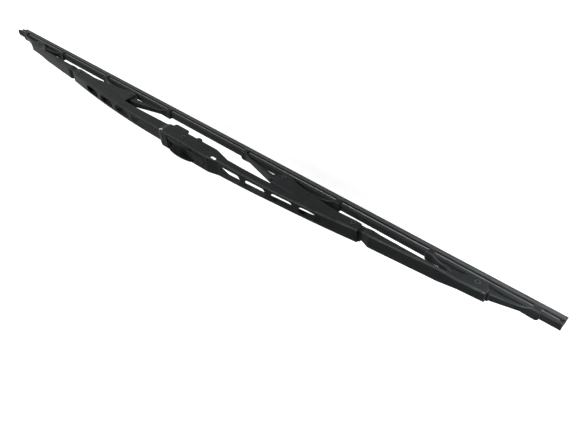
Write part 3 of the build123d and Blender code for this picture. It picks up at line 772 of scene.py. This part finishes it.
class RowTool(NodeTool):
    """Sets copies of one form on a straight row of points."""

    def __init__(self) -> None:
        """Builds the tree."""
        super().__init__(
            "row_of_rivets",
            {
                "Form": "NodeSocketObject",
                "First": "NodeSocketVector",
                "Last": "NodeSocketVector",
                "Count": "NodeSocketInt",
            },
        )
        sheet, source = self.sheet, self.source
        form = sheet.add("GeometryNodeObjectInfo", {"Object": source["Form"]})
        row = sheet.add(
            "GeometryNodeMeshLine",
            {"Count": source["Count"], "Start Location": source["First"], "Offset": source["Last"]},
            mode="END_POINTS",
        )
        copies = sheet.add(
            "GeometryNodeInstanceOnPoints",
            {"Points": row.outputs[0], "Instance": form.outputs["Geometry"]},
        )
        self.close(copies.outputs[0])


def mirrored(corners: list[Corner]) -> list[Corner]:
    """Mirrors corners over the middle plane, in the order that keeps the outline's turn."""
    return [(-across, up, radius) for across, up, radius in reversed(corners)]


def rounded_outline(corners: list[Corner], steps: int) -> list[Flat]:
    """Rounds the corners of a closed outline.

    Args:
        corners: the corners in order, where a radius of 0 leaves one sharp.
        steps: how many faces a rounded corner gets.

    Returns:
        The points of the rounded outline.
    """
    points: list[Flat] = []
    for number, (across, up, radius) in enumerate(corners):
        if radius == 0:
            points.append((across, up))
            continue
        corner = Vector((across, up))
        before = (Vector(corners[number - 1][:2]) - corner).normalized()
        after = (Vector(corners[(number + 1) % len(corners)][:2]) - corner).normalized()
        half = before.angle(after) / 2
        middle = corner + (before + after).normalized() * radius / math.sin(half)
        start = corner + before * radius / math.tan(half) - middle
        turn = start.angle_signed(corner + after * radius / math.tan(half) - middle)
        for step in range(steps + 1):
            spun = Matrix.Rotation(-turn * step / steps, 2) @ start
            points.append((middle.x + spun.x, middle.y + spun.y))
    return points


def section_curve(name: str, outline: list[Flat], height: float) -> bpy.types.Object:
    """Makes a closed section, drawn in mm, as a curve for the sweep.

    The sweep lays the curve's X and Y along the blade's -Y and -Z.

    Args:
        name: the curve's name.
        outline: points across and up from the rail line, in mm.
        height: the rail line's height in mm.

    Returns:
        The curve object, to be removed after use.
    """
    curve = bpy.data.curves.new(name, "CURVE")
    curve.dimensions = "2D"
    line = curve.splines.new("POLY")
    line.points.add(len(outline) - 1)
    for point, (across, up) in zip(line.points, outline):
        point.co = (-across * MM, -(up + height) * MM, 0.0, 1.0)
    line.use_cyclic_u = True
    return link_object(name, curve)


@dataclass(frozen=True)
class RubberSection:
    """The rubber's section in mm: half widths, and heights from the rail line."""

    head_half: float = 3.2
    head_top: float = 2.75
    head_round: float = 1.3
    groove_half: float = 0.47
    groove_root: float = 1.02
    groove_round: float = 0.12
    foot_half: float = 2.1
    foot_bottom: float = -1.4
    foot_top_round: float = 0.2
    foot_round: float = 0.3
    neck_half: float = 0.8
    neck_bottom: float = -2.5
    neck_round: float = 0.25
    shoulder_half: float = 2.3
    shoulder_bottom: float = -3.3
    shoulder_top_round: float = 0.3
    shoulder_round: float = 0.35
    wedge_half: float = 1.15
    wedge_height: float = -5.0
    wedge_round: float = 1.5
    lip_half: float = 0.45
    lip_top: float = -6.7
    lip_bottom: float = -8.3
    lip_top_round: float = 0.6
    lip_round: float = 0.06

    def corners(self) -> list[Corner]:
        """Lists the section's corners: head, rail grooves, foot, neck, shoulder, wedge and lip.

        Returns:
            The corners of the closed outline, about the rail line.
        """
        half = [
            (self.head_half, self.head_top, self.head_round),
            (self.head_half, self.groove_half, self.groove_round),
            (self.groove_root, self.groove_half, 0.0),
            (self.groove_root, -self.groove_half, 0.0),
            (self.foot_half, -self.groove_half, self.foot_top_round),
            (self.foot_half, self.foot_bottom, self.foot_round),
            (self.neck_half, self.foot_bottom, self.neck_round),
            (self.neck_half, self.neck_bottom, self.neck_round),
            (self.shoulder_half, self.neck_bottom, self.shoulder_top_round),
            (self.shoulder_half, self.shoulder_bottom, self.shoulder_round),
            (self.wedge_half, self.wedge_height, self.wedge_round),
            (self.lip_half, self.lip_top, self.lip_top_round),
            (self.lip_half, self.lip_bottom, self.lip_round),
        ]
        return half + mirrored(half)


@dataclass(frozen=True)
class RailSection:
    """The rear rail's section in mm, about the rail line. The front one is its mirror."""

    outer: float = 3.3
    inner: float = 1.0
    thickness: float = 0.9
    corner_round: float = 0.25

    def corners(self) -> list[Corner]:
        """Lists the corners of the closed outline."""
        half = self.thickness / 2
        return [
            (self.outer, half, self.corner_round),
            (self.outer, -half, self.corner_round),
            (self.inner, -half, self.corner_round),
            (self.inner, half, self.corner_round),
        ]


@dataclass(frozen=True)
class Span:
    """A length of strip or rail on one half of the blade, from its outer to its inner end."""

    word: str
    outer: float
    inner: float
    outer_body: str
    inner_body: str


@dataclass(frozen=True)
class StripPart:
    """The rubber or one rail: its name, the node that it replaces, its section and its finish."""

    name: str
    node: str
    slot: Slot
    half: float
    section: bpy.types.Object
    material: bpy.types.Material


@dataclass
class WipingStrip:
    """The rubber strip and its two spring rails, in spans, each attached to its body where one body
    carries it. Sizes are in mm.
    """

    rail_height: float = -25.6
    rubber_half: float = 325.0
    rail_half: float = 322.0
    rubber_section: RubberSection = RubberSection()
    rail_section: RailSection = RailSection()
    corner_faces: int = 5
    sharp_degrees: float = 40.0
    cut_length: float = 2.5
    # The X of the places where the strip passes from one holder to the next, from the tip inwards.
    hold_outer: float = 228.0
    hold_gap: float = 190.0
    hold_inner: float = 154.0
    inner_end: float = 47.0
    middle_join: float = 30.0
    # Half the length in the middle that only the primary lever carries.
    middle_still: float = 2.0

    def spans(self, side: Side, end: float) -> list[Span]:
        """Splits one half of the strip where it passes from one holder to the next.

        Args:
            side: which half.
            end: the half's outer end in mm.

        Returns:
            The spans from the tip to the middle.
        """
        outer = f"yoke_outer_{side.word}"
        inner = f"yoke_inner_{side.word}"
        lever = f"secondary_{side.word}"
        return [
            Span("tip", end, self.hold_outer, outer, outer),
            Span("outer_run", self.hold_outer, self.hold_gap, outer, lever),
            Span("gap_run", self.hold_gap, self.hold_inner, lever, inner),
            Span("inner_run", self.hold_inner, self.inner_end, inner, inner),
            Span("middle_run", self.inner_end, self.middle_join, inner, lever),
            Span("centre", self.middle_join, 0.0, lever, "primary"),
        ]

    def draw(self, name: str, corners: list[Corner]) -> bpy.types.Object:
        """Draws a section round the rail line, as a curve object to be removed after use."""
        return section_curve(name, rounded_outline(corners, self.corner_faces), self.rail_height)

    def pull(self, tool: SweepTool, part: StripPart, side: Side, span: Span) -> None:
        """Makes one span, and attaches it to its body where one body carries it.

        Args:
            tool: the sweep.
            part: what the span is a length of.
            side: which half of the blade.
            span: where it starts and ends, and on which bodies.
        """
        start = Vector((side.value * span.outer * MM, 0, 0))
        end = Vector((side.value * span.inner * MM, 0, 0))
        low, high = sorted((start, end), key=lambda place: place.x)
        piece = tool.run(
            f"{part.name}_{span.word}_{side.word}",
            {
                "Section": part.section,
                "Start": low,
                "End": high,
                "Cuts": 2 + round((span.outer - span.inner) / self.cut_length),
                "Closed Ends": span.word == "tip",
                "Material": part.material,
            },
            self.sharp_degrees,
        )
        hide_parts(part.node)
        if span.outer_body == span.inner_body:
            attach(piece, span.outer_body)
        else:
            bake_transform(piece)
        log.info("%s: %d faces", piece.name, len(piece.data.polygons))

    def build(self, tool: SweepTool, rubber: bpy.types.Material, steel: bpy.types.Material) -> None:
        """Makes the rubber and both rails.

        Args:
            tool: the sweep.
            rubber: the strip's finish.
            steel: the rails' finish.
        """
        rear = self.rail_section.corners()
        rubber_curve = self.draw("rubber_section", self.rubber_section.corners())
        front_curve = self.draw("front_section", mirrored(rear))
        rear_curve = self.draw("rear_section", rear)
        parts = [
            StripPart("rubber", "rubber_strip", Slot.RUBBER, self.rubber_half, rubber_curve, rubber),
            StripPart("rail_front", "rail_front", Slot.RAIL, self.rail_half, front_curve, steel),
            StripPart("rail_rear", "rail_rear", Slot.RAIL, self.rail_half, rear_curve, steel),
        ]
        for side in Side:
            for part in parts:
                for span in self.spans(side, part.half):
                    self.pull(tool, part, side, span)
        for part in parts:
            bpy.data.objects.remove(part.section)


@dataclass(frozen=True)
class RivetRow:
    """The rivets on one body: the piece's name, the nodes that it replaces and their X and Z in mm."""

    name: str
    body: str
    nodes: tuple[str, ...]
    places: tuple[Flat, ...]


@dataclass
class RivetSet:
    """The hollow rivets at the pivots and the pin through the saddle, with sizes in mm."""

    head_radius: float = 2.05
    head_height: float = 0.6
    hollow_radius: float = 0.9
    hollow_depth: float = 1.4
    hollow_bevel: float = 0.25
    hollow_taper: float = 0.96
    hollow_flat: float = 0.6
    lever_shank: float = 1.6
    yoke_shank: float = 1.5
    pin_shank: float = 1.8
    pin_head: float = 2.1
    lever_width: float = 12.4
    yoke_width: float = 9.2
    pin_width: float = 16.4
    lever_place: Flat = (175.0, -10.4)
    outer_place: Flat = (269.8, -19.0)
    inner_place: Flat = (100.3, -18.1)
    faces_round: int = 40
    dome_faces: int = 8
    rim_faces: int = 12
    sharp_degrees: float = 50.0
    dome_rubbed: Range = (0.25, 0.75)
    dome_power: int = 4
    seat_rubbed: float = 0.5
    rim_rubbed: float = 1.0
    hollow_rubbed: float = 0.35

    def half_section(self, half: float, shank: float, head: float) -> list[tuple[float, float, float]]:
        """Draws half of a rivet's section, from the domed head to the bottom of its hollow.

        Args:
            half: half the width that it holds together, in mm.
            shank: its shank's radius.
            head: its heads' radius.

        Returns:
            Radius, place along the rivet and how rubbed the metal is, point by point.
        """
        rise = self.head_height
        hollow = self.hollow_radius
        top_rubbed, side_rubbed = self.dome_rubbed
        points: list[tuple[float, float, float]] = []
        for step in range(self.dome_faces + 1):
            turn = math.radians(90 * step / self.dome_faces)
            rubbed = top_rubbed + (side_rubbed - top_rubbed) * math.sin(turn) ** self.dome_power
            points.append((head * math.sin(turn), half + rise * math.cos(turn), rubbed))
        points.append((shank, half, 0.0))
        points.append((shank, -half, 0.0))
        points.append((head, -half, self.seat_rubbed))
        middle = (head + hollow) / 2
        reach = (head - hollow) / 2
        for step in range(1, self.rim_faces):
            turn = math.radians(180 * step / self.rim_faces)
            along = -half - rise * math.sin(turn)
            points.append((middle + reach * math.cos(turn), along, self.rim_rubbed))
        floor = self.hollow_depth - half - rise
        points.append((hollow, -half, self.hollow_rubbed))
        points.append((hollow * self.hollow_taper, floor - self.hollow_bevel, 0.0))
        points.append((hollow * self.hollow_flat, floor, 0.0))
        points.append((0.0, floor, 0.0))
        return points

    def form(self, name: str, width: float, shank: float, head: float) -> bpy.types.Object:
        """Turns a rivet about its own line.

        Args:
            name: the form's name.
            width: the width that it holds together, in mm.
            shank: its shank's radius.
            head: its heads' radius.

        Returns:
            The rivet's form about the origin, to be removed after use.
        """
        mesh = bpy.data.meshes.new(name)
        made = bmesh.new()
        rubbed = made.verts.layers.float.new(RUBBED)
        rings = []
        for radius, along, bare in self.half_section(width / 2, shank, head):
            ring = []
            for number in range(self.faces_round if radius > 0 else 1):
                turn = 2 * math.pi * number / self.faces_round
                place = Vector((radius * math.cos(turn), along, radius * math.sin(turn)))
                vertex = made.verts.new(place * MM)
                vertex[rubbed] = bare
                ring.append(vertex)
            rings.append(ring)
        for first, second in zip(rings, rings[1:]):
            for number in range(self.faces_round):
                following = (number + 1) % self.faces_round
                corners = [
                    first[number % len(first)],
                    first[following % len(first)],
                    second[following % len(second)],
                    second[number % len(second)],
                ]
                # A ring of one point gives the same corner twice, and each counts once.
                made.faces.new(dict.fromkeys(corners))
        bmesh.ops.recalc_face_normals(made, faces=made.faces)
        made.to_mesh(mesh)
        made.free()
        return link_object(name, mesh)

    def set_row(
        self, tool: RowTool, row: RivetRow, form: bpy.types.Object, material: bpy.types.Material
    ) -> None:
        """Sets one body's rivets in place.

        Args:
            tool: the row tree.
            row: which rivets, and where.
            form: the rivet's form.
            material: the rivets' finish.
        """
        first, last = row.places[0], row.places[-1]
        piece = tool.run(
            row.name,
            {
                "Form": form,
                "First": Vector((first[0], 0, first[1])) * MM,
                "Last": Vector((last[0], 0, last[1])) * MM,
                "Count": len(row.places),
                "Material": material,
            },
            self.sharp_degrees,
        )
        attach(piece, row.body)
        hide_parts(*row.nodes)
        log.info("%s: %d faces", row.name, len(piece.data.polygons))

    def yoke_row(self, side: Side) -> RivetRow:
        """Lists the outer and inner rivet of one side's secondary lever."""
        word = side.word
        return RivetRow(
            f"yoke_rivets_{word}",
            f"secondary_{word}",
            (f"yoke_rivet_outer_{word}", f"yoke_rivet_inner_{word}"),
            tuple((side.value * x, z) for x, z in (self.outer_place, self.inner_place)),
        )

    def build(self, tool: RowTool, material: bpy.types.Material) -> None:
        """Makes every rivet and the pin.

        Args:
            tool: the row tree.
            material: the rivets' finish.
        """
        lever = self.form("lever_rivet_form", self.lever_width, self.lever_shank, self.head_radius)
        yoke = self.form("yoke_rivet_form", self.yoke_width, self.yoke_shank, self.head_radius)
        pin = self.form("pin_form", self.pin_width, self.pin_shank, self.pin_head)
        lever_places = tuple((side.value * self.lever_place[0], self.lever_place[1]) for side in Side)
        lever_nodes = tuple(f"lever_rivet_{side.word}" for side in Side)
        lever_row = RivetRow("lever_rivets", "primary", lever_nodes, lever_places)
        pin_row = RivetRow("saddle_pin", "primary", ("centre_pin",), ((0.0, 0.0),))
        self.set_row(tool, lever_row, lever, material)
        self.set_row(tool, pin_row, pin, material)
        for side in Side:
            self.set_row(tool, self.yoke_row(side), yoke, material)
        for form in (lever, yoke, pin):
            bpy.data.objects.remove(form)


@dataclass
class LeverFrame:
    """The stamped levers and yokes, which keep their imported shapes."""

    levers: tuple[str, ...] = ("primary_lever", "secondary_lever_left", "secondary_lever_right")
    yokes: tuple[str, ...] = (
        "yoke_outer_left",
        "yoke_inner_left",
        "yoke_inner_right",
        "yoke_outer_right",
    )

    def build(self, paint: bpy.types.Material) -> None:
        """Paints the levers and yokes in the powder coat."""
        for node in self.levers + self.yokes:
            dress(node, paint)


@dataclass
class PlasticParts:
    """The hook adapter and the liners between the moving sheets."""

    adapter: str = "arm_adapter"
    lever_liners: tuple[str, ...] = ("lever_liner_left", "lever_liner_right")
    yoke_liners: tuple[str, ...] = (
        "yoke_liner_outer_left",
        "yoke_liner_inner_left",
        "yoke_liner_inner_right",
        "yoke_liner_outer_right",
    )

    def build(self, moulded: bpy.types.Material, sliding: bpy.types.Material) -> None:
        """Dresses the plastic parts.

        Args:
            moulded: the adapter's finish.
            sliding: the liners' finish.
        """
        dress(self.adapter, moulded)
        for node in self.lever_liners + self.yoke_liners:
            dress(node, sliding)


@dataclass(frozen=True)
class Softbox:
    """One soft studio lamp."""

    name: str
    place: Point
    aim: Point
    width: float
    height: float
    watts: float
    spread: float = 180.0

    def build(self) -> None:
        """Hangs the lamp and turns it to its aim."""
        lamp = bpy.data.lights.new(self.name, "AREA")
        lamp.shape = "RECTANGLE"
        lamp.size = self.width
        lamp.size_y = self.height
        lamp.energy = self.watts
        lamp.spread = math.radians(self.spread)
        holder = link_object(self.name, lamp)
        holder.location = self.place
        line = Vector(self.aim) - Vector(self.place)
        holder.rotation_euler = line.to_track_quat("-Z", "Y").to_euler()


@dataclass
class Studio:
    """The pale floor, the room light, the lamps and the photograph's camera, in metres."""

    floor_height: float = -0.13
    floor_half: float = 20.0
    floor_grey: float = 0.9
    # The floor's own glow rises over this distance from the middle, because the light falls off there.
    glow_reach: Range = (0.25, 0.9)
    glow: Range = (0.58, 1.0)
    mirror_share: float = 0.35
    # The room is white up to the first slope of a ray and darker from the second.
    room_rise: Range = (0.25, 0.6)
    room_light: Range = (1.0, 0.24)
    photo_width: float = 577.0
    focal_pixels: float = 607.23
    sensor_width: float = 36.0
    camera_sight: Range = (0.01, 100.0)
    camera_place: Point = (-0.36514, -0.29523, 0.2580)
    camera_right: Point = (-0.73648, 0.01695, -0.67625)
    camera_up: Point = (0.43332, -0.75583, -0.49087)
    camera_back: Point = (-0.51945, -0.65455, 0.54931)
    lamps: tuple[Softbox, ...] = (
        Softbox(
            "bend_light",
            place=(0.30, -0.72, 1.0),
            aim=(-0.12, 0.0, 0.0),
            width=0.45,
            height=0.3,
            watts=9.5,
        ),
        Softbox(
            "end_light",
            place=(-0.70, -0.80, 0.20),
            aim=(-0.33, 0.0, -0.02),
            width=0.12,
            height=0.12,
            watts=0.16,
            spread=14.0,
        ),
    )

    def seen_mask(self, sheet: NodeSheet) -> bpy.types.NodeSocket:
        """Finds the rays that see the floor straight, in gloss or through glass.

        Args:
            sheet: the floor's nodes.

        Returns:
            A mask that is 1 for straight and glass rays and the mirror share for glossy ones.
        """
        path = sheet.add("ShaderNodeLightPath").outputs
        mirrored_rays = sheet.math("MULTIPLY", path["Is Glossy Ray"], self.mirror_share)
        seen = sheet.math("MAXIMUM", path["Is Camera Ray"], mirrored_rays)
        return sheet.math("MAXIMUM", seen, path["Is Transmission Ray"])

    def floor_material(self) -> bpy.types.Material:
        """Makes the floor white to the eye, with the object's faint shadow kept.

        Returns:
            The floor's material.
        """
        material = bpy.data.materials.new("pale_floor")
        sheet = NodeSheet(empty_nodes(material))
        matt = sheet.add("ShaderNodeBsdfDiffuse", {"Color": (self.floor_grey,) * 3})
        place = sheet.add("ShaderNodeTexCoord").outputs["Object"]
        away = sheet.add("ShaderNodeVectorMath", {0: place}, operation="LENGTH").outputs["Value"]
        strength = sheet.ramp(away, self.glow_reach, self.glow)
        glow = sheet.add("ShaderNodeEmission", {"Color": WHITE, "Strength": strength})
        white = sheet.add("ShaderNodeAddShader", {0: matt.outputs[0], 1: glow.outputs[0]})
        mixed = sheet.add(
            "ShaderNodeMixShader",
            {0: self.seen_mask(sheet), 1: matt.outputs[0], 2: white.outputs[0]},
        )
        sheet.add("ShaderNodeOutputMaterial", {"Surface": mixed.outputs[0]})
        return material

    def lay_floor(self) -> None:
        """Lays the floor below the lowest pose, because an arm holds the blade clear of it."""
        half = self.floor_half
        mesh = bpy.data.meshes.new("studio_floor")
        corners = [(-half, -half), (half, -half), (half, half), (-half, half)]
        mesh.from_pydata([(x, y, self.floor_height) for x, y in corners], [], [(0, 1, 2, 3)])
        mesh.materials.append(self.floor_material())
        floor = link_object("studio_floor", mesh)

    def light_room(self) -> None:
        """Makes the soft room light, white low down and darker overhead."""
        world = bpy.data.worlds.new("pale_room")
        bpy.context.scene.world = world
        sheet = NodeSheet(empty_nodes(world))
        direction = sheet.add("ShaderNodeTexCoord").outputs["Generated"]
        rise = sheet.axes(direction).outputs["Z"]
        strength = sheet.ramp(rise, self.room_rise, self.room_light)
        soft = sheet.add("ShaderNodeBackground", {"Color": WHITE, "Strength": strength})
        sheet.add("ShaderNodeOutputWorld", {"Surface": soft.outputs[0]})

    def set_camera(self) -> None:
        """Stands the camera where the photograph was taken."""
        data = bpy.data.cameras.new("photo_camera")
        data.sensor_fit = "HORIZONTAL"
        data.sensor_width = self.sensor_width
        data.lens = self.focal_pixels / self.photo_width * self.sensor_width
        data.clip_start, data.clip_end = self.camera_sight
        camera = link_object("photo_camera", data)
        axes = Matrix((self.camera_right, self.camera_up, self.camera_back)).transposed()
        camera.matrix_world = Matrix.Translation(self.camera_place) @ axes.to_4x4()
        bpy.context.scene.camera = camera

    def build(self) -> None:
        """Sets the floor, the light and the camera."""
        self.lay_floor()
        self.light_room()
        for lamp in self.lamps:
            lamp.build()
        self.set_camera()
        bpy.context.scene.view_settings.view_transform = "Standard"


def main() -> None:
    """Builds the finishes, the parts and the studio in order."""
    logging.basicConfig(level=logging.INFO, format="%(message)s")
    effects = SharedEffects()
    paint = PaintFinish(
        "satin_black_paint",
        deep=(0.0125, 0.0142, 0.0146),
        pale=(0.0175, 0.0195, 0.020),
        # The edge colour is real wear on cut edges and a painted highlight along the bends.
        edge=(0.058, 0.061, 0.062),
        # The inner colour is painted bounce light inside the channels.
        inner=(0.034, 0.036, 0.037),
        roughness=(0.27, 0.39),
    ).build(effects)
    rivet = RivetFinish(
        "blackened_rivet",
        black=(0.010, 0.0105, 0.011),
        bright=(0.055, 0.058, 0.059),
    ).build(effects)
    steel = RailFinish(
        "spring_strip",
        dull=(0.085, 0.09, 0.092),
        bright=(0.235, 0.25, 0.255),
    ).build(effects)
    rubber = RubberFinish(
        "graphite_rubber",
        dark=(0.0098, 0.0112, 0.0116),
        grey=(0.0385, 0.0425, 0.0435),
        # The strip is painted grey between these heights as the lip's sheen.
        dust_heights=(-28.4 * MM, -30.0 * MM),
    ).build(effects)
    moulded = PlasticFinish(
        "moulded_adapter",
        deep=(0.0065, 0.0075, 0.008),
        pale=(0.010, 0.011, 0.0115),
        roughness=(0.44, 0.58),
    ).build(effects)
    sliding = PlasticFinish(
        "sliding_liner",
        deep=(0.009, 0.009, 0.0095),
        pale=(0.014, 0.014, 0.0145),
        roughness=(0.36, 0.5),
    ).build(effects)
    LeverFrame().build(paint)
    PlasticParts().build(moulded, sliding)
    RivetSet().build(RowTool(), rivet)
    WipingStrip().build(SweepTool(), rubber, steel)
    Studio().build()


if __name__ == "__main__":
    main()
